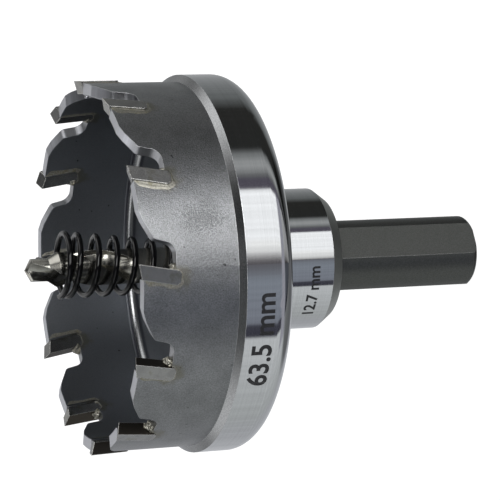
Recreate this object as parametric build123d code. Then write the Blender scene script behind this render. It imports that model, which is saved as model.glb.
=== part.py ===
# Hole saw with hard-metal tips: cup, collar, hub and shank in one piece, twelve brazed tips,
# a stepped pilot drill, its clamping screw and an ejector spring.
# The tool stands on the end of its shank, with +Z along its axis towards the teeth.
# The origin is the centre of the shank's end face. Lengths are in millimetres, angles in degrees.
import os
from math import cos, degrees, pi, radians, sin, tan

from build123d import *

# The circle that the teeth cut, and how far the tips stand proud of the cup's wall
CUTTING_DIAMETER = 63.5
TIP_PROUD = 0.5

# Turned body, from the end of the shank to the rim
SHANK_DIAMETER = 12.7
SHANK_LENGTH = 27.85
SHANK_FLAT_COUNT = 3
SHANK_FLAT_DEPTH = 0.72
SHANK_FLAT_AZIMUTH = 25.5
SHANK_END_ROUND_RADIAL = 0.55
SHANK_END_ROUND_AXIAL = 1.0
HUB_DIAMETER = 24.5
HUB_LENGTH = 16.7
HUB_CHAMFER_RADIAL = 1.65
HUB_CHAMFER_AXIAL = 2.2
COLLAR_WIDTH = 8.85
COLLAR_BACK_ROUND = 3.4
COLLAR_STEP_AXIAL = 0.9
COLLAR_STEP_RADIAL = 1.2
CUP_WALL = 2.0
CUP_DEPTH = 17.95
CUP_FLOOR_CHAMFER = 1.5
CUP_REACH = 17.75

# Teeth: the cutting corners lie on the cutting diameter, in the plane of the tips
TOOTH_COUNT = 12
FIRST_TOOTH_AZIMUTH = 1.5
LAND_DROP = 0.82

# Hard-metal tips
TIP_LENGTH = 7.3
TIP_THICKNESS = 2.4
TIP_WIDTH = 2.2
TIP_FOOT_CHAMFER = 0.5
TIP_RAKE = 10.5
TIP_TOP_RELIEF = 10.0
TIP_TOP_BEVEL = 15.0
TIP_SIDE_RELIEF = 5.0

# Gullets, drawn flat on the plane that touches the cup at the gullet's own azimuth.
# ACROSS is measured along the rim towards the tooth ahead, DOWN from the plane of the tips.
GULLET_AIM = 7.0
GULLET_DEPTH = 6.35
GULLET_HEEL_ACROSS = -5.6
GULLET_FOOT_ACROSS = -0.8
GULLET_WAIST_ACROSS = 0.1
GULLET_WAIST_DOWN = 2.9
GULLET_RAMP_ACROSS = 3.15
GULLET_RAMP_DOWN = 1.35
GULLET_MOUTH_ACROSS = 5.1
GULLET_MOUTH_DOWN = 0.75
GULLET_FOOT_ROUND = 2.0
GULLET_WAIST_ROUND = 1.0
GULLET_RAMP_ROUND = 3.0

# Pilot drill
DRILL_DIAMETER = 6.0
DRILL_POINT_DIAMETER = 3.9
DRILL_REACH = 10.2
DRILL_POINT_LENGTH = 4.0
DRILL_STEP_LENGTH = 1.6
DRILL_POINT_ANGLE = 118.0
DRILL_WEB = 1.5
DRILL_HELIX_ANGLE = 30.0
DRILL_FLUTE_RADIUS = 2.35
DRILL_FLUTE_SIDES = 8
DRILL_FLUTE_LENGTH = 15.5
DRILL_RUNOUT_LENGTH = 3.5
DRILL_FLUTE_AZIMUTH = 5.0
DRILL_SEAT_DEPTH = 22.8
DRILL_CLEARANCE = 0.02
DRILL_FLAT_DEPTH = 0.4
DRILL_FLAT_LENGTH = 7.0

# Set screw, in line with one of the shank's flats
SCREW_DIAMETER = 5.0
SCREW_LENGTH = 8.0
SCREW_CHAMFER = 0.5
SCREW_SOCKET_FLATS = 2.5
SCREW_SOCKET_DEPTH = 2.8
SCREW_ABOVE_SEAT = 5.95

# Ejector spring, wound left-handed, wider at the front, and leaning a little.
# Its wire is drawn as short straight runs with flat sides.
WIRE_DIAMETER = 1.04
SPRING_FRONT_RADIUS = 5.35
SPRING_REAR_RADIUS = 4.0
SPRING_REACH = 3.93
SPRING_TILT_DROP = 0.105
SPRING_PITCH = 3.27
SPRING_END_PITCH = 1.12
SPRING_END_TURNS = 0.6
SPRING_EASE_TURNS = 0.75
SPRING_START_AZIMUTH = 270.0
SPRING_LEAN = 3.0
SPRING_LEAN_DEPTH = 9.7
SPRING_RUNS_PER_TURN = 16
WIRE_SIDES = 8

# Heights above the end of the shank
hub_end_z = SHANK_LENGTH
collar_back_z = hub_end_z + HUB_LENGTH
collar_front_z = collar_back_z + COLLAR_WIDTH
tips_z = collar_front_z + CUP_REACH
rim_z = tips_z - LAND_DROP
floor_z = tips_z - CUP_DEPTH
drill_top_z = tips_z + DRILL_REACH
drill_bottom_z = floor_z - DRILL_SEAT_DEPTH
screw_z = drill_bottom_z + SCREW_ABOVE_SEAT

# Radii
shank_r = SHANK_DIAMETER / 2
hub_r = HUB_DIAMETER / 2
cutting_r = CUTTING_DIAMETER / 2
cup_r = cutting_r - TIP_PROUD
cup_inner_r = cup_r - CUP_WALL
collar_r = cup_r + COLLAR_STEP_RADIAL
drill_r = DRILL_DIAMETER / 2
screw_azimuth = SHANK_FLAT_AZIMUTH + 360 / SHANK_FLAT_COUNT

# How far the shapes that remove material run past a surface, and how closely edges are matched
OVERRUN = 4.0
MATCH = 1e-4


def spoke(azimuth):
    """The level direction at an azimuth."""
    return Vector(cos(radians(azimuth)), sin(radians(azimuth)), 0)


def face_plane(azimuth, radius, height, turn=0.0):
    """An upright plane at a radius, with x along the rim, y up and z outwards."""
    outward = spoke(azimuth + turn)
    along = spoke(azimuth + turn + 90)
    return Plane(origin=spoke(azimuth) * radius + Vector(0, 0, height), x_dir=along, z_dir=outward)


def ring_edges(solid, radius, height):
    """The round edges of a turned solid at one radius and height."""
    rings = solid.edges().filter_by(GeomType.CIRCLE)
    return rings.filter_by(lambda e: abs(e.radius - radius) < MATCH and abs(e.center().Z - height) < MATCH)


def turned_blank():
    """Cup, collar, hub and shank as they leave the lathe."""
    end_r = shank_r - SHANK_END_ROUND_RADIAL
    end_round = Spline((end_r, 0), (shank_r, SHANK_END_ROUND_AXIAL), tangents=[(1, 1), (0, 1)])
    outline = Polyline(
        (shank_r, SHANK_END_ROUND_AXIAL),
        (shank_r, hub_end_z),
        (hub_r - HUB_CHAMFER_RADIAL, hub_end_z),
        (hub_r, hub_end_z + HUB_CHAMFER_AXIAL),
        (hub_r, collar_back_z),
        (collar_r, collar_back_z),
        (collar_r, collar_front_z),
        (cup_r, collar_front_z + COLLAR_STEP_AXIAL),
        (cup_r, rim_z),
        (cup_inner_r, rim_z),
        (cup_inner_r, floor_z),
        (0, floor_z),
        (0, 0),
        (end_r, 0),
    )
    blank = revolve(Plane.XZ * make_face([end_round, outline]), Axis.Z)
    blank = fillet(ring_edges(blank, collar_r, collar_back_z), COLLAR_BACK_ROUND)
    return chamfer(ring_edges(blank, cup_inner_r, floor_z), CUP_FLOOR_CHAMFER)


def shank_flats():
    """The slabs milled off the shank."""
    slab = Box(SHANK_FLAT_DEPTH + OVERRUN, SHANK_DIAMETER, SHANK_LENGTH, align=(Align.MIN, Align.CENTER, Align.MIN))
    slab = Pos(shank_r - SHANK_FLAT_DEPTH, 0, 0) * slab
    return [Rot(0, 0, SHANK_FLAT_AZIMUTH + 360 / SHANK_FLAT_COUNT * i) * slab for i in range(SHANK_FLAT_COUNT)]


def gullet_cutter():
    """The milled gap ahead of a tooth, for a tooth at azimuth zero."""
    outline = FilletPolyline(
        (GULLET_HEEL_ACROSS, OVERRUN),
        (GULLET_HEEL_ACROSS, -GULLET_DEPTH),
        (GULLET_FOOT_ACROSS, -GULLET_DEPTH),
        (GULLET_WAIST_ACROSS, -GULLET_WAIST_DOWN),
        (GULLET_RAMP_ACROSS, -GULLET_RAMP_DOWN),
        (GULLET_MOUTH_ACROSS, -GULLET_MOUTH_DOWN),
        (GULLET_MOUTH_ACROSS, OVERRUN),
        radius=[0, GULLET_FOOT_ROUND, GULLET_WAIST_ROUND, GULLET_RAMP_ROUND, 0],
    )
    closing = Line(outline @ 1, outline @ 0)
    profile = make_face([outline, closing])
    plane = face_plane(GULLET_AIM, cup_r, tips_z)
    return extrude(plane * profile, CUP_WALL + OVERRUN, both=True)


def tip_plane():
    """Upright in the outer face of a tip, with its origin at the cutting corner."""
    return face_plane(0, cutting_r, tips_z, -TIP_SIDE_RELIEF)


def tip_profile():
    """The side view of a slab that leans back by the rake and runs past the plane of the tips."""
    rake = radians(TIP_RAKE)
    down = Vector(-sin(rake), -cos(rake))
    back = Vector(-cos(rake), sin(rake))
    crown = down * -OVERRUN
    ankle = down * (TIP_LENGTH - TIP_FOOT_CHAMFER)
    foot = down * TIP_LENGTH
    return make_face(Polyline(
        crown,
        ankle,
        foot + back * TIP_FOOT_CHAMFER,
        foot + back * (TIP_THICKNESS - TIP_FOOT_CHAMFER),
        ankle + back * TIP_THICKNESS,
        crown + back * TIP_THICKNESS,
        crown,
    ))


def tip_top():
    """The ground top of a tip, falling backwards and inwards from the cutting corner."""
    relief = radians(TIP_TOP_RELIEF)
    bevel = radians(TIP_TOP_BEVEL)
    normal = Vector(-sin(relief) * cos(bevel), cos(relief) * cos(bevel), -cos(relief) * sin(bevel))
    ground = Plane(origin=(0, 0, 0), x_dir=(cos(relief), sin(relief), 0), z_dir=normal)
    return Plane(tip_plane().location * ground.location)


def carbide_tip():
    """One hard-metal tip, its cutting corner at azimuth zero."""
    slab = extrude(tip_plane() * tip_profile(), -TIP_WIDTH)
    stock = Box(TIP_LENGTH + OVERRUN, TIP_LENGTH + OVERRUN, TIP_LENGTH + OVERRUN,
                align=(Align.CENTER, Align.CENTER, Align.MIN))
    return slab - tip_top() * stock


def tip_seat():
    """The notch that holds a tip, open at the rim and on both sides of the wall."""
    return extrude(tip_plane() * tip_profile(), CUP_WALL + OVERRUN, both=True)


def around(piece, count, first):
    """Copies of a piece at equal steps round the axis."""
    return [Rot(0, 0, first + 360 / count * i) * piece for i in range(count)]


def screw_plane():
    """The plane in the hub from which the set screw points outwards."""
    return face_plane(screw_azimuth, drill_r - DRILL_FLAT_DEPTH, screw_z)


def cutter_body():
    body = turned_blank() - shank_flats()
    body -= around(gullet_cutter(), TOOTH_COUNT, FIRST_TOOTH_AZIMUTH)
    body -= around(tip_seat(), TOOTH_COUNT, FIRST_TOOTH_AZIMUTH)
    bore = Cylinder(drill_r + DRILL_CLEARANCE, DRILL_SEAT_DEPTH, align=(Align.CENTER, Align.CENTER, Align.MIN))
    body -= Pos(0, 0, drill_bottom_z) * bore
    screw_hole = Cylinder(SCREW_DIAMETER / 2, hub_r, align=(Align.CENTER, Align.CENTER, Align.MIN))
    return body - screw_plane() * screw_hole


def pilot_drill():
    """A two-flute twist drill with a stepped point, from its seat in the hub to its tip."""
    point_r = DRILL_POINT_DIAMETER / 2
    cone = point_r / tan(radians(DRILL_POINT_ANGLE / 2))
    step_z = drill_top_z - DRILL_POINT_LENGTH
    shoulder_z = step_z - DRILL_STEP_LENGTH
    flute_z = drill_top_z - DRILL_FLUTE_LENGTH
    plain_z = flute_z - DRILL_RUNOUT_LENGTH
    envelope = revolve(Plane.XZ * make_face(Polyline(
        (0, plain_z),
        (drill_r, plain_z),
        (drill_r, shoulder_z),
        (point_r, step_z),
        (point_r, drill_top_z - cone),
        (0, drill_top_z),
        (0, plain_z),
    )), Axis.Z)

    # The section across the flutes, turned as it rises
    height = drill_top_z - plain_z
    twist = degrees(height * tan(radians(DRILL_HELIX_ANGLE)) / drill_r)
    flute = Pos(DRILL_WEB / 2 + DRILL_FLUTE_RADIUS, 0) * RegularPolygon(DRILL_FLUTE_RADIUS, DRILL_FLUTE_SIDES)
    section = Circle(drill_r + DRILL_CLEARANCE) - flute - Rot(0, 0, 180) * flute
    section = Pos(0, 0, plain_z) * Rot(0, 0, DRILL_FLUTE_AZIMUTH - twist) * section
    fluted = Solid.extrude_linear_with_rotation(section.face(), (0, 0, plain_z), (0, 0, height), twist)

    # The core thickens to the full diameter where the flutes run out
    web_r = DRILL_WEB / 2
    core = revolve(Plane.XZ * make_face([
        Line((0, plain_z), (drill_r, plain_z)),
        Line((drill_r, plain_z), (web_r, flute_z)),
        Line((web_r, flute_z), (0, flute_z)),
        Line((0, flute_z), (0, plain_z)),
    ]), Axis.Z)
    shank = Pos(0, 0, drill_bottom_z) * Cylinder(
        drill_r, plain_z - drill_bottom_z, align=(Align.CENTER, Align.CENTER, Align.MIN))
    drill = (envelope & fluted) + core + shank

    flat = Box(DRILL_DIAMETER, DRILL_FLAT_LENGTH, OVERRUN, align=(Align.CENTER, Align.CENTER, Align.MIN))
    return drill - screw_plane() * flat


def set_screw():
    """A headless screw with a hex socket, its foot on the drill's flat."""
    screw = Cylinder(SCREW_DIAMETER / 2, SCREW_LENGTH, align=(Align.CENTER, Align.CENTER, Align.MIN))
    screw = chamfer(screw.edges().filter_by(GeomType.CIRCLE), SCREW_CHAMFER)
    socket = extrude(RegularPolygon(SCREW_SOCKET_FLATS / 2, 6, major_radius=False), SCREW_SOCKET_DEPTH)
    screw -= Pos(0, 0, SCREW_LENGTH - SCREW_SOCKET_DEPTH) * socket
    return screw_plane() * screw


def ejector_spring():
    """A conical coil with one closed turn at each end, its rear turn on the floor of the cup."""
    wire_r = WIRE_DIAMETER / 2
    front_z = tips_z + SPRING_REACH
    rear_z = floor_z + wire_r - SPRING_TILT_DROP
    height = front_z - rear_z
    end_turns = SPRING_END_TURNS + SPRING_EASE_TURNS / 2
    free_turns = (height - 2 * end_turns * SPRING_END_PITCH) / SPRING_PITCH
    turns = free_turns + 2 * end_turns

    def eased(turn):
        """The free turns among the first turns, the easing turn counted by its share."""
        easing = min(max(turn - SPRING_END_TURNS, 0), SPRING_EASE_TURNS)
        beyond = max(turn - SPRING_END_TURNS - SPRING_EASE_TURNS, 0)
        return easing ** 2 / (2 * SPRING_EASE_TURNS) + beyond

    def drop(turn):
        """How far the wire has come down from the front after some turns."""
        free = eased(turn) - eased(turns - turn) + eased(turns) - turn
        return SPRING_END_PITCH * turn + (SPRING_PITCH - SPRING_END_PITCH) * free

    points = []
    steps = round(turns * SPRING_RUNS_PER_TURN)
    for i in range(steps + 1):
        turn = turns * i / steps
        share = drop(turn) / height
        radius = SPRING_FRONT_RADIUS + (SPRING_REAR_RADIUS - SPRING_FRONT_RADIUS) * share
        angle = radians(SPRING_START_AZIMUTH) + 2 * pi * turn
        points.append((radius * cos(angle), radius * sin(angle), front_z - height * share))
    path = Polyline(*points)
    section = Plane(origin=path @ 0, z_dir=path % 0) * RegularPolygon(wire_r, WIRE_SIDES)
    wire = sweep(section, path, transition=Transition.RIGHT)
    pivot = Pos(0, 0, tips_z - SPRING_LEAN_DEPTH)
    return pivot * Rot(-SPRING_LEAN, 0, 0) * pivot.inverse() * wire


def pieces():
    """Every piece by the name of its node."""
    parts = {"cutter_body": cutter_body()}
    for number, tip in enumerate(around(carbide_tip(), TOOTH_COUNT, FIRST_TOOTH_AZIMUTH), 1):
        parts[f"carbide_tip_{number:02d}"] = tip
    parts["pilot_drill"] = pilot_drill()
    parts["ejector_spring"] = ejector_spring()
    parts["set_screw"] = set_screw()
    return parts


os.makedirs("parts", exist_ok=True)
for name, solid in pieces().items():
    export_step(solid, f"parts/{name}.step")
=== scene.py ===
"""Dresses the hole saw: blasted and ground steel, brazed tips, twist drill, wire spring, marks and studio."""
from math import cos, degrees, pi, radians, sin

import bmesh
import bpy
from bpy.props import FloatProperty, FloatVectorProperty, IntProperty, PointerProperty, StringProperty
from mathutils import Matrix, Vector, noise


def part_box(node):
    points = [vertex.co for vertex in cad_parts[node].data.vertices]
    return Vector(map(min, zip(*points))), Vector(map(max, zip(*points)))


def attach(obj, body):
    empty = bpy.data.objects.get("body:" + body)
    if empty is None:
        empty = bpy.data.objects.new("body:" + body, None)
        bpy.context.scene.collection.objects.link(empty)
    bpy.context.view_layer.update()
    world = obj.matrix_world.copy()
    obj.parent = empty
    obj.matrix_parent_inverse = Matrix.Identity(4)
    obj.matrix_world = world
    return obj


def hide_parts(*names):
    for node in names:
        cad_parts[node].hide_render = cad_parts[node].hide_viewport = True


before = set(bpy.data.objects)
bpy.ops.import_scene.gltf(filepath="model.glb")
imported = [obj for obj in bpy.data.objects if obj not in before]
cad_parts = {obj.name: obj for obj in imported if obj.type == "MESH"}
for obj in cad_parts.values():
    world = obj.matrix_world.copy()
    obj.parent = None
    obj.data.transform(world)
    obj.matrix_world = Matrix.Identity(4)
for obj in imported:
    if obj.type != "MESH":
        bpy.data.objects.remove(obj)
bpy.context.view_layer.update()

bl_info = {
    "name": "Hole Saw Finish",
    "version": (1, 0, 0),
    "blender": (4, 5, 0),
    "location": "View3D > Sidebar > Hole Saw",
    "description": "Finishes, wire spring, brazing and marks of a carbide-tipped hole saw",
    "category": "Object",
}

MM = 0.001
BODY = "cutter_body"
TIPS = sorted(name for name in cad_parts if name.startswith("carbide_tip_"))
TIPS_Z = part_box(TIPS[0])[1].z
RIM = TIPS_Z / MM
COLLAR_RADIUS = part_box(BODY)[1].y
CLIP_START = 10 * MM


def length(name, description, size_mm):
    """A length property with its default in millimetres."""
    return FloatProperty(name=name, description=description, default=size_mm * MM, unit="LENGTH", precision=5)


def angle(name, description, size_degrees):
    """An angle property with its default in degrees."""
    return FloatProperty(name=name, description=description, default=radians(size_degrees), subtype="ANGLE")


def colour(name, description, value):
    """A colour property."""
    return FloatVectorProperty(name=name, description=description, default=value, subtype="COLOR", size=3)


class BodySettings(bpy.types.PropertyGroup):
    """The turned body: where its finishes change, and their colours."""

    hub_end: length("Hub end", "Depth of the hub's lower face below the tips", 43.3)
    hub_chamfer: length("Hub chamfer", "Height of the hub's end chamfer", 2.2)
    hub_radius: length("Hub radius", "Radius of the hub", 12.25)
    collar_back: length("Collar back", "Depth of the collar's lower face below the tips", 26.6)
    collar_front: length("Collar front", "Depth below the tips where the collar's step begins", 17.75)
    step_rise: length("Step rise", "Height of the step between collar and cup", 0.9)
    floor_depth: length("Floor depth", "Depth of the cup's floor below the tips", 17.95)
    floor_corner: length("Floor corner", "Width of the cut between the cup's floor and wall", 1.5)
    cup_radius: length("Cup radius", "Outer radius of the cup", 31.25)
    cup_wall: length("Cup wall", "Thickness of the cup's wall", 2.0)
    gullet_depth: length("Gullet depth", "Depth of the gullets below the tips", 6.35)
    land_depth: length("Land depth", "Depth below the tips where the lands pass into the gullets", 2.2)
    edge_round: length("Edge round", "How far worn edges are rounded", 0.11)
    smudge_azimuth: angle("Smudge azimuth", "Azimuth of the dark smudge on the cup", 14.5)
    smudge_depth: length("Smudge depth", "Depth of the dark smudge below the tips", 11.0)
    smudge_half_angle: angle("Smudge half angle", "Half the width of the smudge", 4.0)
    smudge_half_height: length("Smudge half height", "Half the height of the smudge", 3.8)
    blasted: colour("Blasted steel", "Colour of the cup's outside", (0.24, 0.245, 0.25))
    inner: colour("Cup inside", "Colour of the cup's inside", (0.215, 0.227, 0.245))
    ground: colour("Ground steel", "Colour of the collar and hub", (0.60, 0.61, 0.62))
    corner: colour("Polished corner", "Colour of the cut between floor and wall", (0.11, 0.113, 0.13))
    land: colour("Lands", "Colour of the rim's ground lands", (0.62, 0.63, 0.67))
    gullet: colour("Gullets", "Colour of the milled gullets", (0.36, 0.365, 0.385))
    shank: colour("Shank", "Colour of the dull shank", (0.103, 0.106, 0.100))
    # The chamfer is the shank's dull steel painted lighter: painted light
    chamfer: colour("Turned chamfer", "Colour of the hub's end chamfer", (0.371, 0.382, 0.36))
    # Worn edges: partly rubbed wear, partly a painted highlight where the edges catch the light
    worn_edge_highlight: colour("Worn edges", "Colour of the edges that are rubbed bright", (0.85, 0.86, 0.88))
    scorch: colour("Scorch", "Colour of the heat stain round each brazed seat", (0.16, 0.145, 0.09))


class TipSettings(bpy.types.PropertyGroup):
    """The brazed tips: where they sit, their braze, stains and colours."""

    first_azimuth: angle("First tip", "Azimuth of the first cutting corner", 1.5)
    rake: angle("Rake", "Lean of each tip away from the cut", 10.5)
    tip_length: length("Tip length", "Length of a tip along its rake face", 7.3)
    thickness: length("Tip thickness", "Thickness of a tip behind its rake face", 2.4)
    foot_cut: length("Foot cut", "Width of the cut corners at a tip's foot", 0.5)
    edge_round: length("Edge round", "How far a tip's edges are rounded", 0.20)
    braze_start: length("Braze start", "Depth below a tip's top where the braze begins", 1.3)
    fillet: length("Braze fillet", "Width of the braze along the back of a seat", 0.75)
    fillet_rise: length("Braze rise", "Height of the braze where it meets a tip", 0.17)
    lump: length("Braze lump", "Half the width of the lump at the foot of a rake face", 0.75)
    flux_depth: length("Flux depth", "Depth below the tips where the flux on the rake faces begins", 5.4)
    stain_behind: length("Stain behind", "How far the heat stain lies behind the cutting corner", 2.4)
    stain_depth: length("Stain depth", "Depth of the heat stain's middle below the tips", 6.2)
    stain_half_width: length("Stain half width", "Half the width of the heat stain", 2.1)
    stain_half_height: length("Stain half height", "Half the height of the heat stain", 2.5)
    carbide: colour("Hard metal", "Colour of the ground hard metal", (0.31, 0.308, 0.30))
    rake_face: colour("Rake faces", "Colour of the scorched rake faces", (0.055, 0.048, 0.040))
    stain: colour("Stain", "Colour of the stains on the hard metal", (0.17, 0.165, 0.12))
    rake_flux: colour("Rake flux", "Colour of the flux on the rake faces", (0.30, 0.27, 0.19))
    # The tips' edges are painted pale: a painted edge highlight
    edge: colour("Tip edges", "Colour of the tips' edges", (0.80, 0.79, 0.75))
    braze: colour("Braze", "Colour of the silver braze", (0.34, 0.33, 0.285))
    braze_flux: colour("Braze flux", "Colour of the flux in the braze", (0.26, 0.24, 0.16))


class DrillSettings(bpy.types.PropertyGroup):
    """Finish of the pilot drill and of its clamping screw."""

    edge_round: length("Edge round", "How far the drill's edges are rounded", 0.05)
    flute_end: length("Flute end", "Depth below the tips where the flutes end", 7.7)
    steel: colour("Drill steel", "Colour of the ground drill", (0.42, 0.41, 0.37))
    # The drill below its flutes is painted brighter than the same steel above: a painted reflection
    plain: colour("Plain drill", "Colour of the drill below its flutes", (0.63, 0.615, 0.555))
    stain: colour("Drill stain", "Colour of the straw-coloured clouds", (0.20, 0.185, 0.14))
    # The drill's edges are painted pale: a painted edge highlight
    edge: colour("Drill edges", "Colour of the drill's edges", (0.75, 0.75, 0.73))
    screw: colour("Screw steel", "Colour of the blackened set screw", (0.05, 0.05, 0.052))


class SpringSettings(bpy.types.PropertyGroup):
    """The wire spring round the drill."""

    wire: length("Wire diameter", "Diameter of the wire", 1.04)
    front_radius: length("Front radius", "Mean radius of the coil's free end", 5.35)
    rear_radius: length("Rear radius", "Mean radius of the coil's seated end", 4.0)
    reach: length("Reach", "How far the wire's centre stands past the tips", 3.93)
    seat: length("Seat depth", "Depth of the wire's centre at the seated end, below the tips", 17.535)
    pitch: length("Pitch", "Rise of one open turn", 3.27)
    end_pitch: length("End pitch", "Rise of one closed end turn", 1.12)
    end_turns: FloatProperty(name="End turns", description="Closed turns at each end", default=0.6)
    ease_turns: FloatProperty(name="Easing turns", description="Turns from closed to open pitch",
                              default=0.75)
    start_azimuth: angle("Start azimuth", "Azimuth of the wire's free end", 270)
    lean: angle("Lean", "How far the coil leans over", 3)
    lean_depth: length("Lean depth", "Depth below the tips of the point that the coil leans about", 9.7)
    points: IntProperty(name="Points per turn", description="Curve points in one turn", default=48, min=12)
    enamel: colour("Spring steel", "Colour of the blackened spring wire", (0.003, 0.003, 0.0035))


class MarkSettings(bpy.types.PropertyGroup):
    """Plain size marks etched on the collar and the hub."""

    collar_text: StringProperty(name="Collar mark", description="Cutting diameter", default="63.5 mm")
    collar_height: length("Collar digits", "Height of the collar's digits", 3.6)
    collar_level: length("Collar level", "Depth of the middle of the collar's mark below the tips", 20.85)
    collar_azimuth: angle("Collar azimuth", "Middle of the collar's mark", -23)
    hub_text: StringProperty(name="Hub mark", description="Shank diameter", default="12.7 mm")
    hub_height: length("Hub digits", "Height of the hub's digits", 2.15)
    hub_level: length("Hub level", "Depth of the middle of the hub's mark below the tips", 37.5)
    hub_azimuth: angle("Hub azimuth", "Middle of the hub's mark", -28)
    weight: FloatProperty(name="Weight", description="How far the strokes are thickened", default=0.022)
    ink: colour("Etching", "Colour of the etched marks", (0.012, 0.012, 0.014))
    faded: colour("Faded etching", "Colour of the etched marks where they have faded", (0.06, 0.06, 0.065))


class StageSettings(bpy.types.PropertyGroup):
    """Camera, floor and light."""

    lens: FloatProperty(name="Lens", description="Focal length in millimetres", default=168.88)
    distance: length("Distance", "From the camera to the plane through the tips' centre", 397.363)
    tilt: angle("Tilt", "How far the tool's axis leans out of the picture", 20.357)
    turn: angle("Turn", "How far the tool's axis is turned in the picture", 2.335)
    aside: length("Aside", "How far the tips' centre lies to the left in the picture", 28.373)
    below: length("Below", "How far the tips' centre lies below the picture's middle", 3.08)
    floor_radius: length("Floor radius", "Radius of the floor", 6000)
    floor_glow: FloatProperty(name="Floor glow", default=0.93,
                              description="White added to the floor where the camera sees it")
    floor_white: colour("Floor", "Colour of the floor as it lights the tool", (0.8, 0.8, 0.8))
    floor_seen: colour("Floor seen", "Colour of the floor where the camera sees it", (0.3, 0.3, 0.3))


SETTINGS = {
    "saw_body": BodySettings,
    "saw_tips": TipSettings,
    "saw_drill": DrillSettings,
    "saw_spring": SpringSettings,
    "saw_marks": MarkSettings,
    "saw_stage": StageSettings,
}

# Studio panels round the tool by azimuth in degrees: start, end, then the light at each of them
PANELS = (
    (-180, -125, (0.56, 0.57, 0.60), (0.50, 0.51, 0.53)),
    (-105, -46.4, (0.52, 0.54, 0.54), (0.72, 0.74, 0.75)),
    (-45.6, -38.2, (0.05, 0.05, 0.07), (0.07, 0.07, 0.09)),
    (-36.4, -10, (0.27, 0.29, 0.34), (0.30, 0.33, 0.38)),
    (-4.0, 3.6, (0.15, 0.145, 0.16), (0.13, 0.12, 0.13)),
    (4.8, 12, (0.95, 0.95, 0.94), (1.42, 1.42, 1.40)),
    (13.6, 43.4, (1.35, 1.36, 1.37), (1.40, 1.41, 1.42)),
    (44.6, 51.4, (0.11, 0.10, 0.13), (0.12, 0.11, 0.14)),
    (52.4, 60, (0.17, 0.175, 0.18), (0.46, 0.47, 0.47)),
    (61, 67.5, (0.46, 0.47, 0.47), (0.26, 0.27, 0.27)),
    (72.5, 106, (0.030, 0.031, 0.030), (0.032, 0.032, 0.030)),
    (119, 180, (0.17, 0.18, 0.18), (0.45, 0.46, 0.47)),
)
# Light of the panels by height: the sine of the elevation and the share that is left
HEIGHTS = ((-1.0, 0.30), (-0.87, 0.33), (-0.80, 1.0), (-0.1, 1.0), (0.15, 0.4), (0.35, 0.22), (1.0, 0.25))
# The pale panel below the others: azimuths from and to, sines of the elevations from and to, softness of both
PALE_PANEL = (-62, 46, -0.84, -0.62, 4, 0.03)
PALE_LIGHT = (0.42, 0.42, 0.47)
# Lamps: azimuths from and to, sines of the elevations from and to, softness in degrees, light
LAMPS = (
    (8, 38, -0.27, -0.05, 1.5, 5.4),
    (60, 128, -0.27, -0.05, 1.5, 0.45),
    (6, 40, 0.26, 0.66, 3.0, 6.0),
    (-62, -12, 0.30, 0.62, 6.0, 1.3),
    (62, 138, 0.35, 0.80, 9.0, 1.5),
    (-165, -85, 0.40, 0.80, 8.0, 0.9),
    (150, 192, 0.12, 0.60, 8.0, 0.5),
    (-192, -150, 0.12, 0.60, 8.0, 0.5),
)
# Degrees of azimuth for as soft an edge as 1 in the sine of the elevation
DEGREES_PER_SINE = 60
# Faint stripes between the panels: how close they stand, and their light
STRIPE_SCALE = 0.55
STRIPE_LIGHT = (0.86, 1.1)

# The range that most of a noise lies in
NOISE_RANGE = (0.3, 0.7)
# Rays for a rounded edge, and how alike its normal and the plain one are at an edge and off it
BEVEL_SAMPLES = 6
EDGE_LIKENESS = (0.90, 0.995)
# How far a rake face looks ahead, from where it counts as one to where it is one
RAKE_FACING = (0.75, 0.9)

# Borders between the body's finishes, in millimetres: how soft they are and how far they lie off the edges
FINE_SEAM = 0.02
SEAM = 0.03
EDGE = 0.05
MARGIN = 0.1
FLOOR_MARGIN = 0.25
# The polished corner in millimetres: how far its band and turn begin before the cut and stop before its end
CORNER_LEAD = 0.9
CORNER_TAIL = 0.1
CORNER_SOFT = 0.5
CORNER_TURN_LEAD = 1.1
CORNER_TURN_TAIL = 0.2
# Softness in millimetres of the change from land to gullet, of the flux's upper end and of the flutes' end
LAND_SOFT = 0.8
FLUX_SOFT = 1.4
FLUTE_END_SOFT = 0.9
# Share of a tooth's step that is counted as lying behind its cutting corner
STAIN_TURN = 0.7
# Where the heat stain fades, from and to in half sizes, with its cover before and after
STAIN_FADE = (0.6, 1.25, 0.5, 0.0)
# Where the smudge fades, from and to in half sizes, with the light it leaves before and after
SMUDGE_FADE = (0.3, 1.3, 0.62, 1.0)
# How far the edges of both wander, in half sizes
STAIN_TATTER = 0.25
SMUDGE_TATTER = 0.5
# How densely the turning marks lie round the axis and along it
TURNING_ROUND = 0.5
TURNING_ALONG = 7.0
# The noise at a pit's border and within it, the light that is left outside a pit and in it
PITS = (0.76, 0.79, 1.0, 0.35)
# How bright the worn edges are on shank and hub, and from the collar upwards: partly rubbed wear, partly a
# painted edge highlight
EDGE_WEAR_AND_HIGHLIGHT = (0.4, 0.8)

# Roughness of the body's finishes, as one value or the two between which it wavers
BLASTED_ROUGHNESS = (0.30, 0.36)
GROUND_ROUGHNESS = (0.055, 0.085)
INSIDE_ROUGHNESS = 0.42
CORNER_ROUGHNESS = 0.50
MILLED_ROUGHNESS = 0.28
STEP_ROUGHNESS = 0.24
DULL_ROUGHNESS = 0.40
# Roughness of the tips, of their rake faces, and of the drill below its flutes
CARBIDE_ROUGHNESS = 0.26
RAKE_ROUGHNESS = 0.42
PLAIN_ROUGHNESS = 0.26
# Depth of the blasting and of the turning marks in millimetres, and the blasting's share on smoother finishes
BLAST_DEPTH = 0.05
TURNING_DEPTH = 0.001
SMOOTH_GRIT = 0.07
DULL_GRIT = 0.42
GROUND_GRIT = 0.011


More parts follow.
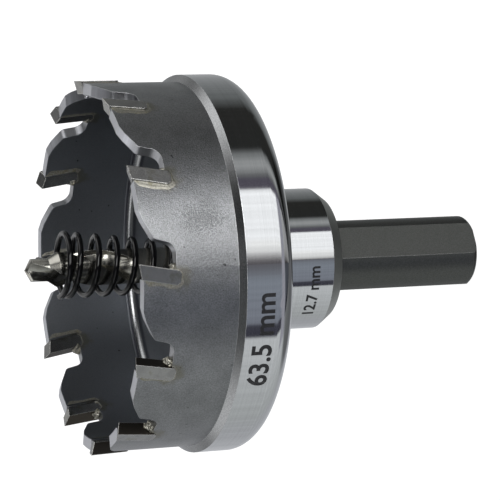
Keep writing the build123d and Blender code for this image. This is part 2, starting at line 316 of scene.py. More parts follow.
class Nodes:
    """Short calls for the shader nodes that the finishes share."""

    def __init__(self, tree):
        self.tree = tree
        tree.nodes.clear()

    def plug(self, socket, value):
        """Links a socket to another, or sets its own value."""
        if isinstance(value, bpy.types.NodeSocket):
            self.tree.links.new(value, socket)
        elif socket.type == "RGBA":
            socket.default_value = (*value, 1.0)
        else:
            socket.default_value = value

    def add(self, kind, inputs=(), **settings):
        """A new node with its settings and inputs."""
        node = self.tree.nodes.new(kind)
        for name, value in settings.items():
            setattr(node, name, value)
        for name, value in dict(inputs).items():
            self.plug(node.inputs[name], value)
        return node

    def math(self, operation, *values):
        """The result of a Math node."""
        return self.add("ShaderNodeMath", enumerate(values), operation=operation).outputs[0]

    def rise(self, value, low, high, start=0.0, end=1.0):
        """A smooth rise from start to end while the value goes from low to high."""
        inputs = {"Value": value, "From Min": low, "From Max": high, "To Min": start, "To Max": end}
        return self.add("ShaderNodeMapRange", inputs, interpolation_type="SMOOTHSTEP").outputs[0]

    def level(self, value, low, high):
        """Where the value lies between low and high, from 0 to 1."""
        return self.add("ShaderNodeMapRange", {"Value": value, "From Min": low, "From Max": high}).outputs[0]

    def above(self, value, limit, soft):
        """1 above a limit and 0 below it, with a soft border."""
        return self.rise(value, limit - soft, limit + soft)

    def below(self, value, limit, soft):
        """1 below a limit and 0 above it, with a soft border."""
        return self.rise(value, limit - soft, limit + soft, 1.0, 0.0)

    def between(self, value, low, high, soft):
        """1 from low to high and 0 outside, with soft borders."""
        return self.times(self.above(value, low, soft), self.below(value, high, soft))

    def times(self, first, *others):
        """The product of several values or masks."""
        for other in others:
            first = self.math("MULTIPLY", first, other)
        return first

    def opposite(self, mask):
        """0 where a mask is 1, and 1 where it is 0."""
        return self.math("SUBTRACT", 1.0, mask)

    def distance(self, across, along):
        """The length of a step with two parts at right angles."""
        squares = [self.times(part, part) for part in (across, along)]
        return self.math("SQRT", self.math("ADD", *squares))

    def offset(self, value, centre, half_size):
        """How far a value lies from a centre, counted in half sizes."""
        return self.math("DIVIDE", self.math("SUBTRACT", value, centre), half_size)

    def blend(self, share, first, second):
        """A colour between two colours."""
        node = self.add("ShaderNodeMix", {0: share, 6: first, 7: second}, data_type="RGBA")
        return node.outputs[2]

    def shift(self, share, first, second):
        """A number between two numbers."""
        return self.add("ShaderNodeMix", {0: share, 2: first, 3: second}, data_type="FLOAT").outputs[0]

    def scaled(self, vector, factor):
        """A colour or a vector times a factor."""
        node = self.add("ShaderNodeVectorMath", {0: vector, "Scale": factor}, operation="SCALE")
        return node.outputs[0]

    def likeness(self, first, second):
        """How alike two directions are, up to 1."""
        node = self.add("ShaderNodeVectorMath", {0: first, 1: second}, operation="DOT_PRODUCT")
        return node.outputs["Value"]

    def grain(self, place, scale, detail=2.0, roughness=0.5):
        """Noise between 0 and 1."""
        inputs = {"Vector": place, "Scale": scale, "Detail": detail, "Roughness": roughness}
        return self.add("ShaderNodeTexNoise", inputs).outputs[0]

    def mottle(self, noise_value, low, high):
        """A number that goes from low to high with a noise."""
        return self.rise(noise_value, *NOISE_RANGE, low, high)

    def ramp(self, value, stops):
        """A colour ramp, linear between its stops."""
        node = self.add("ShaderNodeValToRGB", {"Fac": value})
        elements = node.color_ramp.elements
        elements.remove(elements[1])
        elements[0].position, elements[0].color = stops[0][0], (*stops[0][1], 1.0)
        for position, tint in stops[1:]:
            elements.new(position).color = (*tint, 1.0)
        return node.outputs[0]

    def place(self):
        """Where the shaded point lies on the tool, in millimetres."""
        return self.scaled(self.add("ShaderNodeTexCoord").outputs["Object"], 1 / MM)

    def split(self, vector):
        """The three parts of a vector."""
        return self.add("ShaderNodeSeparateXYZ", {0: vector}).outputs

    def joined(self, x, y, z):
        """A vector of three numbers."""
        return self.add("ShaderNodeCombineXYZ", {0: x, 1: y, 2: z}).outputs[0]

    def bump(self, height, depth_mm, normal=None):
        """A bumped normal."""
        inputs = {"Height": height, "Distance": depth_mm * MM}
        if normal:
            inputs["Normal"] = normal
        return self.add("ShaderNodeBump", inputs).outputs[0]

    def rounded(self, radius):
        """A normal that rounds sharp edges, and a mask of those edges."""
        soft = self.add("ShaderNodeBevel", {"Radius": radius}, samples=BEVEL_SAMPLES).outputs[0]
        plain = self.add("ShaderNodeNewGeometry").outputs["Normal"]
        return soft, self.rise(self.likeness(soft, plain), *EDGE_LIKENESS, 1.0, 0.0)

    def surface(self, tint, rough, normal, metallic=1.0, **others):
        """The surface shader, wired to the output."""
        inputs = {"Base Color": tint, "Roughness": rough, "Normal": normal, "Metallic": metallic, **others}
        shader = self.add("ShaderNodeBsdfPrincipled", inputs)
        self.add("ShaderNodeOutputMaterial", {"Surface": shader.outputs[0]})


def new_material(name):
    """An empty node material and its node calls."""
    material = bpy.data.materials.new(name)
    material.use_nodes = True
    return material, Nodes(material.node_tree)


class BodySurface:
    """Where a point of the turned body lies, in millimetres, with masks of the finishes and their noises."""

    def __init__(self, n, sizes):
        self.place = n.place()
        self.x, self.y, self.z = n.split(self.place)
        self.radius = n.distance(self.x, self.y)
        self.azimuth = n.math("ARCTAN2", self.y, self.x)
        self.degrees = n.math("DEGREES", self.azimuth)
        self.add_noises(n)
        self.add_outer_masks(n, sizes)
        self.add_cup_masks(n, sizes)
        turned = n.math("MAXIMUM", self.on_collar, self.on_hub)
        self.ground = n.times(turned, n.opposite(self.inside))
        self.dull = n.math("MAXIMUM", self.on_chamfer, self.on_shank)

    def add_noises(self, n):
        """Blasting, large blotches, turning marks round the axis, and pits."""
        self.blast = n.grain(self.place, scale=4.6, detail=2.0, roughness=0.65)
        self.blotch = n.grain(self.place, scale=0.22, detail=3.0)
        round_axis = n.times(self.azimuth, TURNING_ROUND)
        stretched = n.joined(round_axis, 0.0, n.times(self.z, TURNING_ALONG))
        self.turning = n.grain(stretched, scale=1.0, detail=4.0, roughness=0.7)
        self.pits = n.rise(n.grain(self.place, scale=1.1, detail=1.0), *PITS)

    def add_outer_masks(self, n, sizes):
        """Shank, hub, collar and the step up to the cup."""
        hub_end = RIM - sizes.hub_end / MM + EDGE
        chamfer_top = RIM - (sizes.hub_end - sizes.hub_chamfer) / MM
        self.collar_back = RIM - sizes.collar_back / MM
        collar_front = RIM - sizes.collar_front / MM
        self.step_top = collar_front + sizes.step_rise / MM
        self.on_shank = n.below(self.z, hub_end, SEAM)
        self.on_chamfer = n.between(self.z, hub_end, chamfer_top, SEAM)
        self.on_hub = n.between(self.z, chamfer_top, self.collar_back - SEAM, SEAM)
        self.on_collar = n.between(self.z, self.collar_back - SEAM, collar_front, FINE_SEAM)
        self.on_step = n.between(self.z, collar_front, self.step_top, FINE_SEAM)

    def add_cup_masks(self, n, sizes):
        """The cup's inside, the corner of its floor, and what is milled into its rim."""
        floor = RIM - sizes.floor_depth / MM
        gullet = RIM - sizes.gullet_depth / MM
        outer = sizes.cup_radius / MM
        inner = outer - sizes.cup_wall / MM
        corner = sizes.floor_corner / MM
        above_floor = n.above(self.z, floor - FLOOR_MARGIN, EDGE)
        self.inside = n.times(above_floor, n.below(self.radius, inner + MARGIN, EDGE))
        self.past_corner = n.math("SUBTRACT", n.math("ADD", self.radius, self.z), inner - corner + floor)
        band = n.between(self.past_corner, -CORNER_LEAD, 2 * corner - CORNER_TAIL, CORNER_SOFT)
        self.near_corner = n.times(self.inside, band)
        wall = n.between(self.radius, inner + MARGIN, outer - 2 * SEAM, SEAM)
        self.cut = n.times(n.above(self.z, gullet - MARGIN, EDGE), wall)


def body_tint(n, spot, sizes):
    """Colour of the clean finishes, from the cup down to the shank."""
    uneven = n.times(n.mottle(spot.blast, 0.78, 1.22), n.mottle(spot.blotch, 0.90, 1.08))
    outside = n.scaled(n.scaled(sizes.blasted, uneven), spot.pits)
    inner = n.scaled(sizes.inner, n.times(n.mottle(spot.blast, 0.94, 1.06), spot.pits))
    tint = n.blend(spot.inside, outside, inner)
    tint = n.blend(spot.near_corner, tint, n.scaled(sizes.corner, spot.pits))
    milled = n.blend(n.above(spot.z, RIM - sizes.land_depth / MM, LAND_SOFT), sizes.gullet, sizes.land)
    tint = n.blend(spot.cut, tint, n.scaled(milled, n.mottle(spot.turning, 0.88, 1.08)))
    tint = n.blend(spot.ground, tint, n.scaled(sizes.ground, n.mottle(spot.turning, 0.92, 1.06)))
    tint = n.blend(spot.on_step, tint, n.scaled(sizes.ground, n.mottle(spot.blast, 0.48, 0.68)))
    # The chamfer gets the shank's dull steel painted lighter: painted light
    tint = n.blend(spot.on_chamfer, tint, sizes.chamfer)
    return n.blend(spot.on_shank, tint, n.scaled(sizes.shank, n.mottle(spot.blast, 0.85, 1.15)))


def heat_stain(n, spot, sizes, tips):
    """Mask of the heat stain round the lower end of each seat."""
    step = 360 / len(TIPS)
    behind = step * STAIN_TURN
    turned = n.math("SUBTRACT", spot.degrees, degrees(tips.first_azimuth))
    local = n.math("SUBTRACT", n.math("FLOORED_MODULO", n.math("ADD", turned, behind), step), behind)
    along = n.times(local, radians(sizes.cup_radius / MM))
    across = n.offset(along, -tips.stain_behind / MM, tips.stain_half_width / MM)
    down = n.offset(spot.z, RIM - tips.stain_depth / MM, tips.stain_half_height / MM)
    tatter = n.rise(n.grain(spot.place, scale=0.8, detail=2.0), 0.2, 0.8, -STAIN_TATTER, STAIN_TATTER)
    ragged = n.math("ADD", n.distance(across, down), tatter)
    return n.times(n.rise(ragged, *STAIN_FADE), n.rise(spot.z, spot.step_top, spot.step_top + 1))


def smudge_light(n, spot, sizes):
    """How bright the smudge between two teeth leaves the cup."""
    aside = n.offset(spot.degrees, degrees(sizes.smudge_azimuth), degrees(sizes.smudge_half_angle))
    below = n.offset(spot.z, RIM - sizes.smudge_depth / MM, sizes.smudge_half_height / MM)
    tatter = n.mottle(spot.blast, -SMUDGE_TATTER, SMUDGE_TATTER)
    return n.rise(n.math("ADD", n.distance(aside, below), tatter), *SMUDGE_FADE)


def body_roughness(n, spot):
    """Roughness of each finish."""
    rough = n.shift(spot.inside, n.mottle(spot.blast, *BLASTED_ROUGHNESS), INSIDE_ROUGHNESS)
    rough = n.shift(spot.near_corner, rough, CORNER_ROUGHNESS)
    rough = n.shift(spot.cut, rough, MILLED_ROUGHNESS)
    rough = n.shift(spot.ground, rough, n.mottle(spot.turning, *GROUND_ROUGHNESS))
    rough = n.shift(spot.on_step, rough, STEP_ROUGHNESS)
    return n.shift(spot.dull, rough, DULL_ROUGHNESS)


def corner_normal(n, spot, sizes):
    """A normal that turns smoothly from the cup's floor up to its wall."""
    end = 2 * sizes.floor_corner / MM - CORNER_TURN_TAIL
    turn = n.rise(spot.past_corner, -CORNER_TURN_LEAD, end, 0.0, pi / 2)
    inwards = n.math("DIVIDE", n.math("SINE", turn), n.times(spot.radius, -1.0))
    level = [n.times(part, inwards) for part in (spot.x, spot.y)]
    return n.joined(*level, n.math("COSINE", turn))


def body_normal(n, spot, sizes, rounded):
    """Blasting grit on the dull finishes and fine turning marks on the ground ones."""
    normal = n.blend(spot.near_corner, rounded, corner_normal(n, spot, sizes))
    grit = n.shift(n.math("MAXIMUM", spot.inside, spot.on_step), 1.0, SMOOTH_GRIT)
    grit = n.shift(spot.ground, n.shift(spot.dull, grit, DULL_GRIT), GROUND_GRIT)
    normal = n.bump(n.times(spot.blast, grit), BLAST_DEPTH, normal)
    return n.bump(n.times(spot.turning, spot.ground), TURNING_DEPTH, normal)


def body_material(sizes, tips):
    """Blasted cup, ground collar and hub, dull shank and scorched seats."""
    material, n = new_material("turned_steel_finish")
    spot = BodySurface(n, sizes)
    rounded, edges = n.rounded(sizes.edge_round)
    # The body's edges are painted pale: partly rubbed wear, partly a painted edge highlight
    wear_and_highlight = n.rise(spot.z, spot.collar_back, spot.collar_back + 1, *EDGE_WEAR_AND_HIGHLIGHT)
    tint = n.blend(n.times(edges, n.opposite(spot.inside), wear_and_highlight), body_tint(n, spot, sizes), sizes.worn_edge_highlight)
    tint = n.blend(heat_stain(n, spot, sizes, tips), tint, sizes.scorch)
    tint = n.scaled(tint, smudge_light(n, spot, sizes))
    n.surface(tint, body_roughness(n, spot), body_normal(n, spot, sizes, rounded))
    return material


def rake_mask(n, x, y):
    """1 on the faces that look ahead in the direction of the cut."""
    normal = n.add("ShaderNodeNewGeometry").outputs["Normal"]
    ahead_x = n.times(y, -1.0)
    ahead = n.add("ShaderNodeVectorMath", {0: n.joined(ahead_x, x, 0.0)}, operation="NORMALIZE")
    return n.rise(n.likeness(normal, ahead.outputs[0]), *RAKE_FACING)


def carbide_material(tips):
    """Ground hard metal with stains and edges painted paler as a painted edge highlight, scorched on its rake
    face.
    """
    material, n = new_material("hard_metal_finish")
    place = n.place()
    x, y, z = n.split(place)
    rounded, edges = n.rounded(tips.edge_round)
    on_rake = rake_mask(n, x, y)
    specks = n.grain(place, scale=3.5, detail=3.0, roughness=0.7)
    cloud = n.grain(place, scale=0.55, detail=3.0)
    uneven = n.times(n.mottle(cloud, 0.85, 1.1), n.mottle(specks, 0.96, 1.04))
    tint = n.blend(n.rise(cloud, 0.54, 0.70, end=0.5), n.scaled(tips.carbide, uneven), tips.stain)
    low = n.below(z, RIM - tips.flux_depth / MM, FLUX_SOFT)
    flux = n.times(n.rise(specks, 0.56, 0.68, end=0.5), low)
    tint = n.blend(on_rake, tint, n.blend(flux, tips.rake_face, tips.rake_flux))
    # Paints the tips' edges pale: a painted edge highlight
    tint = n.blend(n.times(edges, 0.8), tint, tips.edge)
    rough = n.shift(on_rake, CARBIDE_ROUGHNESS, RAKE_ROUGHNESS)
    n.surface(tint, rough, n.bump(specks, depth_mm=0.0005, normal=rounded))
    return material


def braze_material(tips):
    """Silver braze with olive flux in its hollows."""
    material, n = new_material("braze_finish")
    place = n.place()
    cloud = n.grain(place, scale=1.1, detail=3.0, roughness=0.6)
    grit = n.grain(place, scale=4.0, detail=2.0)
    tint = n.blend(n.rise(cloud, 0.50, 0.72, end=0.8), tips.braze, tips.braze_flux)
    tint = n.scaled(tint, n.mottle(grit, 0.75, 1.2))
    n.surface(tint, n.mottle(cloud, 0.38, 0.55), n.bump(grit, depth_mm=0.02), metallic=0.9)
    return material


def drill_material(drill):
    """Ground drill steel with grinding lines round it, its edges painted pale as a painted highlight, and
    painted brighter below its flutes as a painted reflection.
    """
    material, n = new_material("drill_steel_finish")
    place = n.place()
    z = n.split(place)[2]
    rounded, edges = n.rounded(drill.edge_round)
    lines = n.grain(n.joined(0.0, 0.0, n.times(z, 9.0)), scale=1.0, detail=4.0, roughness=0.7)
    cloud = n.grain(place, scale=0.7, detail=3.0)
    tint = n.scaled(drill.steel, n.mottle(lines, 0.88, 1.08))
    tint = n.blend(n.rise(cloud, 0.45, 0.75, end=0.35), tint, drill.stain)
    # Paints the drill's edges pale: a painted edge highlight
    tint = n.blend(n.times(edges, 0.5), tint, drill.edge)
    # Below the flutes the steel is painted brighter: a painted reflection
    plain = n.below(z, RIM - drill.flute_end / MM, FLUTE_END_SOFT)
    tint = n.blend(plain, tint, drill.plain)
    rough = n.shift(plain, n.mottle(cloud, 0.16, 0.24), PLAIN_ROUGHNESS)
    n.surface(tint, rough, n.bump(lines, depth_mm=0.0004, normal=rounded))
    return material


def enamel_material(spring):
    """Gloss black coating of the spring."""
    material, n = new_material("spring_finish")
    cloud = n.grain(n.place(), scale=1.5, detail=3.0)
    rough = n.mottle(cloud, 0.04, 0.07)
    n.surface(spring.enamel, rough, n.bump(cloud, depth_mm=0.004), metallic=0.0, IOR=1.38)
    return material


def screw_material(drill):
    """Blackened steel with a light cloudiness."""
    material, n = new_material("screw_finish")
    cloud = n.grain(n.place(), scale=1.2, detail=3.0)
    tint = n.scaled(drill.screw, n.mottle(cloud, 0.85, 1.15))
    n.surface(tint, n.mottle(cloud, 0.32, 0.40), n.bump(cloud, depth_mm=0.004))
    return material


def ink_material(marks):
    """Dark etching, faded in places."""
    material, n = new_material("etching_finish")
    fade = n.grain(n.place(), scale=2.5, detail=3.0)
    tint = n.blend(n.rise(fade, 0.55, 0.8, end=0.5), marks.ink, marks.faded)
    n.surface(tint, n.mottle(fade, 0.45, 0.65), n.bump(fade, depth_mm=0.004), metallic=0.0)
    return material


def finish_node(name, material):
    """Gives a carried-over solid its finish."""
    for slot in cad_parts[name].material_slots:
        slot.material = material


def add_piece(name, data, material):
    """Puts a new piece on the tool, in its finish."""
    piece = bpy.data.objects.new(name, data)
    bpy.context.scene.collection.objects.link(piece)
    data.materials.append(material)
    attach(piece, "root")
    return piece


def around(radius, azimuth, height):
    """A point on a cylinder round the tool's axis."""
    return Vector((radius * cos(azimuth), radius * sin(azimuth), height))


def spring_path(spring):
    """Centre line of the conical coil, from its free end down to its seat."""
    front = TIPS_Z + spring.reach
    height = spring.reach + spring.seat
    quiet_turns = spring.end_turns + spring.ease_turns / 2
    turns = (height - 2 * quiet_turns * spring.end_pitch) / spring.pitch + 2 * quiet_turns

    def eased(turn):
        easing = min(max(turn - spring.end_turns, 0), spring.ease_turns)
        return easing ** 2 / (2 * spring.ease_turns) + max(turn - spring.end_turns - spring.ease_turns, 0)

    def drop(turn):
        open_turns = eased(turn) - eased(turns - turn) + eased(turns) - turn
        return spring.end_pitch * turn + (spring.pitch - spring.end_pitch) * open_turns

    pivot = Matrix.Translation((0, 0, TIPS_Z - spring.lean_depth))
    leaning = pivot @ Matrix.Rotation(-spring.lean, 4, "X") @ pivot.inverted()
    steps = round(turns * spring.points)
    for step in range(steps + 1):
        turn = turns * step / steps
        share = drop(turn) / height
        radius = spring.front_radius + (spring.rear_radius - spring.front_radius) * share
        yield leaning @ around(radius, spring.start_azimuth + 2 * pi * turn, front - height * share)


def seat_outline(tips, lip_depth):
    """Corners of one tip's seat, down its back, round its foot and up to the gullet.

    Each is a distance along the wall and a height.
    """
    down = Vector((-sin(tips.rake), -cos(tips.rake)))
    back = Vector((-cos(tips.rake), sin(tips.rake)))
    corner = Vector((0, TIPS_Z))
    foot = corner + down * tips.tip_length
    return [
        corner + back * tips.thickness + down * tips.braze_start,
        foot + back * tips.thickness - down * tips.foot_cut,
        foot + back * (tips.thickness - tips.foot_cut),
        foot + back * tips.foot_cut,
        foot - down * tips.foot_cut,
        corner + down * lip_depth,
    ]


def spread_points(points, spacing):
    """Points along a broken line, a given distance apart."""
    spread = []
    for start, end in zip(points, points[1:]):
        count = max(round((end - start).length / spacing), 1)
        spread += [start.lerp(end, step / count) for step in range(count)]
    return spread + [points[-1]]


# How close the points along the braze are, and the least width of a fillet
BRAZE_SPACING = 0.15 * MM
LEAST_FILLET = 0.02 * MM
# Height of the fillet inside the wall as a share of the one outside
INNER_RISE = 0.6
# Share of the fillet's width that is lost past the back of the seat
WIDTH_LOSS = 0.6
# How much a fillet's width and height and a lump's size waver, as shares of them
WIDTH_WAVE = 0.5
RISE_WAVE = 0.3
SIZE_WAVE = 0.35
# A lump's place ahead of the rake face and above the gullet, and its half height, in its half widths
LUMP_AHEAD = 0.35
LUMP_RAISED = 0.3
LUMP_TALL = 1.2
# Half of a lump's size through the wall, as a share of the wall
LUMP_THROUGH = 0.48
# Large and small swellings of a lump: their share of its size, and how close they stand
SWELLINGS = ((0.55, 1.6), (0.25, 4))
# The braze's share of its usual width at each tip
BRAZE_SHARES = (0.85, 1.15, 1.75, 1.2, 0.9, 1.1, 0.8, 1.0, 1.2, 0.9, 0.5, 0.75)
# The braze across its width: share of the width from the tip outwards, share of the height
BRAZE_SECTION = ((0.0, 1.0), (0.08, 1.0), (0.17, 0.35), (0.38, 0.50), (0.70, 0.30), (1.0, -0.1))


def add_fillet(mesh, outline, radius, azimuth, outward, width_at, rise_at):
    """Adds a strip of braze beside a line on the wall, its foot running out on the wall."""
    rows = []
    for index, point in enumerate(outline):
        ahead = outline[min(index + 1, len(outline) - 1)] - outline[max(index - 1, 0)]
        away = Vector((ahead.y, -ahead.x)).normalized()
        row = []
        for share, lift in BRAZE_SECTION:
            spot = point + away * width_at(index) * share
            place = around(radius + outward * rise_at(index) * lift, azimuth + spot.x / radius, spot.y)
            row.append(mesh.verts.new(place))
        rows.append(row)
    for lower, upper in zip(rows, rows[1:]):
        for side in range(len(BRAZE_SECTION) - 1):
            mesh.faces.new((lower[side], upper[side], upper[side + 1], lower[side + 1]))


def add_lump(mesh, centre, half_sizes, seed):
    """Adds an uneven blob, given half its sizes through the wall, along it and upwards."""
    outward = Vector((centre.x, centre.y, 0)).normalized()
    along = Vector((-outward.y, outward.x, 0))
    axes = (outward, along, Vector((0, 0, 1)))
    blob = bmesh.ops.create_icosphere(mesh, subdivisions=4, radius=1.0)
    shift = Vector((seed * 3.7, 0, 0))
    for vert in blob["verts"]:
        swell = sum((share * noise.noise(vert.co * scale + shift) for share, scale in SWELLINGS), 1)
        offset = sum((axes[i] * vert.co[i] * half_sizes[i] * swell for i in range(3)), Vector())
        vert.co = centre + offset


def braze_mesh(tips, body, index):
    """Braze round one tip's seat, outside and inside the wall, and the lump at the foot of its rake face."""
    azimuth = tips.first_azimuth + 2 * pi * index / len(TIPS)
    lip_depth = body.gullet_depth / cos(tips.rake)
    corners = seat_outline(tips, lip_depth)
    outline = spread_points(corners, BRAZE_SPACING)
    back_end = len(spread_points(corners[:3], BRAZE_SPACING))
    inner_radius = body.cup_radius - body.cup_wall

    def width(step):
        wave = 1 + WIDTH_WAVE * noise.noise(Vector((step * 0.07, index * 2.3, 0)))
        taper = min(step / 6, 1.0)
        past_back = min(max((step - back_end) / 5, 0), 1)
        share = BRAZE_SHARES[index] * wave * (1 - WIDTH_LOSS * past_back) * taper
        return tips.fillet * share + LEAST_FILLET

    def rise(step):
        wave = 1 + RISE_WAVE * noise.noise(Vector((step * 0.16, index * 1.3, 5.0)))
        return tips.fillet_rise * wave * min(step / 4 + 0.2, 1.0)

    def inner_rise(step):
        return rise(step) * INNER_RISE

    mesh = bmesh.new()
    add_fillet(mesh, outline, body.cup_radius, azimuth, 1, width, rise)
    add_fillet(mesh, outline[:back_end], inner_radius, azimuth, -1, width, inner_rise)
    size = tips.lump * (1 + SIZE_WAVE * noise.noise(Vector((index * 1.9, 4.2, 0))))
    ahead = LUMP_AHEAD * size - sin(tips.rake) * lip_depth
    height = TIPS_Z - body.gullet_depth + LUMP_RAISED * size
    centre = around(body.cup_radius - body.cup_wall / 2, azimuth + ahead / body.cup_radius, height)
    add_lump(mesh, centre, (LUMP_THROUGH * body.cup_wall, size, size * LUMP_TALL), index)
    data = bpy.data.meshes.new("braze")
    mesh.to_mesh(data)
    mesh.free()
    data.shade_smooth()
    return data


# How finely a mark is bent, and how far it stands proud of the steel and reaches into it
MARK_SLICE = 0.4 * MM
MARK_PROUD = 0.012 * MM
MARK_DEPTH = 0.04 * MM


def text_mesh(text, digit_height, weight, radius, azimuth, level):
    """Characters bent round the tool's axis, standing a hair proud of the surface."""
    curve = bpy.data.curves.new("mark", "FONT")
    curve.body = text
    curve.extrude = 0.5
    curve.offset = weight
    curve.resolution_u = 4
    holder = bpy.data.objects.new("mark", curve)
    flat = bpy.data.meshes.new_from_object(holder)
    bpy.data.objects.remove(holder)
    mesh = bmesh.new()
    mesh.from_mesh(flat)
    bpy.data.meshes.remove(flat)
    low = Vector(min(vert.co[i] for vert in mesh.verts) for i in range(3))
    high = Vector(max(vert.co[i] for vert in mesh.verts) for i in range(3))
    scale = digit_height / (high.y - low.y)
    middle = (low + high) / 2
    slice_width = MARK_SLICE / scale
    for cut in range(1, int((high.x - low.x) / slice_width) + 1):
        parts = mesh.verts[:] + mesh.edges[:] + mesh.faces[:]
        place = Vector((low.x + cut * slice_width, 0, 0))
        bmesh.ops.bisect_plane(mesh, geom=parts, plane_co=place, plane_no=Vector((1, 0, 0)))
    for vert in mesh.verts:
        along, up = (vert.co.x - middle.x) * scale, (vert.co.y - middle.y) * scale
        lift = MARK_PROUD if vert.co.z > 0 else -MARK_DEPTH
        vert.co = around(radius + lift, azimuth + along / radius, level + up)
    data = bpy.data.meshes.new("mark")
    mesh.to_mesh(data)
    mesh.free()
    return data


class HOLE_SAW_OT_body(bpy.types.Operator):
    """Finish the turned body: blasted cup, ground collar and hub, dull shank"""

    bl_idname = "hole_saw.body"
    bl_label = "Body Finish"

    def execute(self, context):
        scene = context.scene
        finish_node(BODY, body_material(scene.saw_body, scene.saw_tips))
        return {"FINISHED"}


class HOLE_SAW_OT_tips(bpy.types.Operator):
    """Finish the hard-metal tips"""

    bl_idname = "hole_saw.tips"
    bl_label = "Tip Finish"

    def execute(self, context):
        material = carbide_material(context.scene.saw_tips)
        for name in TIPS:
            finish_node(name, material)
        return {"FINISHED"}


class HOLE_SAW_OT_braze(bpy.types.Operator):
    """Lay braze round each tip's seat"""

    bl_idname = "hole_saw.braze"
    bl_label = "Braze"

    def execute(self, context):
        tips = context.scene.saw_tips
        material = braze_material(tips)
        for index in range(len(TIPS)):
            data = braze_mesh(tips, context.scene.saw_body, index)
            add_piece(f"braze_{index + 1:02d}", data, material)
        return {"FINISHED"}


class HOLE_SAW_OT_drill(bpy.types.Operator):
    """Finish the pilot drill and its set screw"""

    bl_idname = "hole_saw.drill"
    bl_label = "Drill and Screw Finish"

    def execute(self, context):
        drill = context.scene.saw_drill
        finish_node("pilot_drill", drill_material(drill))
        finish_node("set_screw", screw_material(drill))
        return {"FINISHED"}


class HOLE_SAW_OT_spring(bpy.types.Operator):
    """Wind the wire spring round the drill"""

    bl_idname = "hole_saw.spring"
    bl_label = "Wire Spring"

    def execute(self, context):
        spring = context.scene.saw_spring
        curve = bpy.data.curves.new("ejector_wire", "CURVE")
        curve.dimensions = "3D"
        curve.bevel_depth = spring.wire / 2
        curve.bevel_resolution = 4
        curve.use_fill_caps = True
        spline = curve.splines.new("POLY")
        points = list(spring_path(spring))
        spline.points.add(len(points) - 1)
        for point, place in zip(spline.points, points):
            point.co = (*place, 1.0)
        spline.use_smooth = True
        piece = add_piece("ejector_wire", curve, enamel_material(spring))
        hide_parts("ejector_spring")
        return {"FINISHED"}


class HOLE_SAW_OT_marks(bpy.types.Operator):
    """Etch the plain size marks on the collar and the hub"""

    bl_idname = "hole_saw.marks"
    bl_label = "Size Marks"

    def execute(self, context):
        marks, body = context.scene.saw_marks, context.scene.saw_body
        material = ink_material(marks)
        collar = text_mesh(marks.collar_text, marks.collar_height, marks.weight, COLLAR_RADIUS,
                           marks.collar_azimuth, TIPS_Z - marks.collar_level)
        add_piece("collar_mark", collar, material)
        hub = text_mesh(marks.hub_text, marks.hub_height, marks.weight, body.hub_radius,
                        marks.hub_azimuth, TIPS_Z - marks.hub_level)
        add_piece("hub_mark", hub, material)
        return {"FINISHED"}


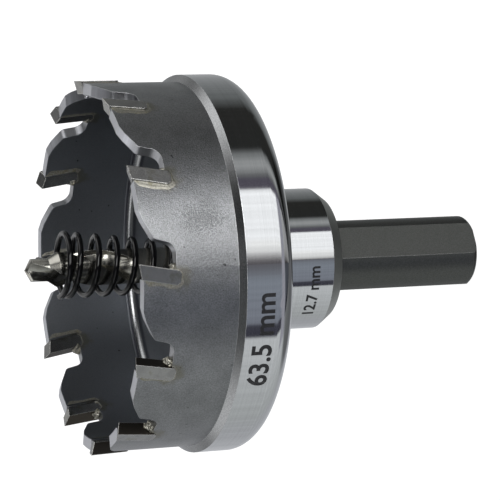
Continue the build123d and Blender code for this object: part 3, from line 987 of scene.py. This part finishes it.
class HOLE_SAW_OT_stage(bpy.types.Operator):
    """Set up the floor, the studio panels and the camera"""

    bl_idname = "hole_saw.stage"
    bl_label = "Stage"

    def execute(self, context):
        stage = context.scene.saw_stage
        context.scene.view_settings.view_transform = "Standard"
        self.floor(context, stage)
        self.panels(context)
        self.camera(context, stage)
        return {"FINISHED"}

    def floor(self, context, stage):
        """A white floor that still takes the tool's shadow."""
        mesh = bmesh.new()
        bmesh.ops.create_circle(mesh, cap_ends=True, segments=96, radius=stage.floor_radius)
        data = bpy.data.meshes.new("floor")
        mesh.to_mesh(data)
        mesh.free()
        material, n = new_material("floor_white")
        seen = n.add("ShaderNodeLightPath").outputs["Is Camera Ray"]
        glow = n.add("ShaderNodeEmission", {"Strength": n.times(seen, stage.floor_glow)})
        shown = n.blend(seen, stage.floor_white, stage.floor_seen)
        matte = n.add("ShaderNodeBsdfDiffuse", {"Color": shown})
        total = n.add("ShaderNodeAddShader", {0: glow.outputs[0], 1: matte.outputs[0]})
        n.add("ShaderNodeOutputMaterial", {"Surface": total.outputs[0]})
        data.materials.append(material)
        floor = bpy.data.objects.new("floor", data)
        context.scene.collection.objects.link(floor)
        floor.visible_glossy = False

    def panels(self, context):
        """Light and dark studio panels round the tool; the camera sees plain white."""
        world = bpy.data.worlds.new("studio")
        world.use_nodes = True
        n = Nodes(world.node_tree)
        x, y, z = n.split(n.add("ShaderNodeTexCoord").outputs["Generated"])
        azimuth = n.math("DEGREES", n.math("ARCTAN2", y, x))
        share = n.level(azimuth, -180, 180)
        stops = []
        for start, end, first, last in PANELS:
            stops += [((start + 180) / 360, first), ((end + 180) / 360, last)]
        light = n.ramp(share, stops)
        start, end, low, high, soft, sine_soft = PALE_PANEL
        pale = n.times(n.between(azimuth, start, end, soft), n.between(z, low, high, sine_soft))
        light = n.blend(pale, light, PALE_LIGHT)
        levels = [((sine + 1) / 2, (level, level, level)) for sine, level in HEIGHTS]
        fading = n.ramp(n.level(z, -1, 1), levels)
        stripes = n.grain(n.joined(azimuth, 0.0, 0.0), STRIPE_SCALE)
        light = n.scaled(light, n.times(fading, n.mottle(stripes, *STRIPE_LIGHT)))
        for start, end, low, high, soft, strength in LAMPS:
            sine_soft = soft / DEGREES_PER_SINE
            lit = n.times(n.between(azimuth, start, end, soft), n.between(z, low, high, sine_soft))
            glow = n.scaled((1.0, 1.0, 1.0), n.times(lit, strength))
            light = n.add("ShaderNodeVectorMath", {0: light, 1: glow}).outputs[0]
        seen = n.add("ShaderNodeLightPath").outputs["Is Camera Ray"]
        shown = n.blend(seen, light, (1, 1, 1))
        sky = n.add("ShaderNodeBackground", {"Color": shown})
        n.add("ShaderNodeOutputWorld", {"Surface": sky.outputs[0]})
        context.scene.world = world

    def camera(self, context, stage):
        """The photograph's view: the tool's axis lies across the picture, its cup to the left."""
        tilt, turn = stage.tilt, stage.turn
        right = Vector((sin(tilt), -cos(tilt) * sin(turn), -cos(tilt) * cos(turn)))
        up = Vector((0, cos(turn), -sin(turn)))
        back = right.cross(up)
        centre = Vector((0, 0, TIPS_Z))
        eye = centre + stage.aside * right + stage.below * up + stage.distance * back
        axes = Matrix((right, up, back)).transposed().to_4x4()
        data = bpy.data.cameras.new("camera")
        data.lens = stage.lens
        data.clip_start = CLIP_START
        camera = bpy.data.objects.new("camera", data)
        camera.matrix_world = Matrix.Translation(eye) @ axes
        context.scene.collection.objects.link(camera)
        context.scene.camera = camera


OPERATORS = (HOLE_SAW_OT_body, HOLE_SAW_OT_tips, HOLE_SAW_OT_braze, HOLE_SAW_OT_drill, HOLE_SAW_OT_spring,
             HOLE_SAW_OT_marks, HOLE_SAW_OT_stage)


class HOLE_SAW_PT_panel(bpy.types.Panel):
    """Steps and settings of the hole saw"""

    bl_idname = "HOLE_SAW_PT_panel"
    bl_label = "Hole Saw"
    bl_space_type = "VIEW_3D"
    bl_region_type = "UI"
    bl_category = "Hole Saw"

    def draw(self, context):
        for operator in OPERATORS:
            self.layout.operator(operator.bl_idname)
        for name, group in SETTINGS.items():
            box = self.layout.box()
            box.label(text=group.__doc__)
            for prop in group.__annotations__:
                box.prop(getattr(context.scene, name), prop)


CLASSES = (*SETTINGS.values(), *OPERATORS, HOLE_SAW_PT_panel)


def register():
    """Registers the classes and hangs the settings on the scene."""
    for each in CLASSES:
        bpy.utils.register_class(each)
    for name, group in SETTINGS.items():
        setattr(bpy.types.Scene, name, PointerProperty(type=group))


def unregister():
    """Takes the settings and classes away again."""
    for name in SETTINGS:
        delattr(bpy.types.Scene, name)
    for each in reversed(CLASSES):
        bpy.utils.unregister_class(each)


def main():
    """Runs each step in order."""
    register()
    bpy.ops.hole_saw.body()
    bpy.ops.hole_saw.tips()
    bpy.ops.hole_saw.braze()
    bpy.ops.hole_saw.drill()
    bpy.ops.hole_saw.spring()
    bpy.ops.hole_saw.marks()
    bpy.ops.hole_saw.stage()


if __name__ == "__main__":
    main()
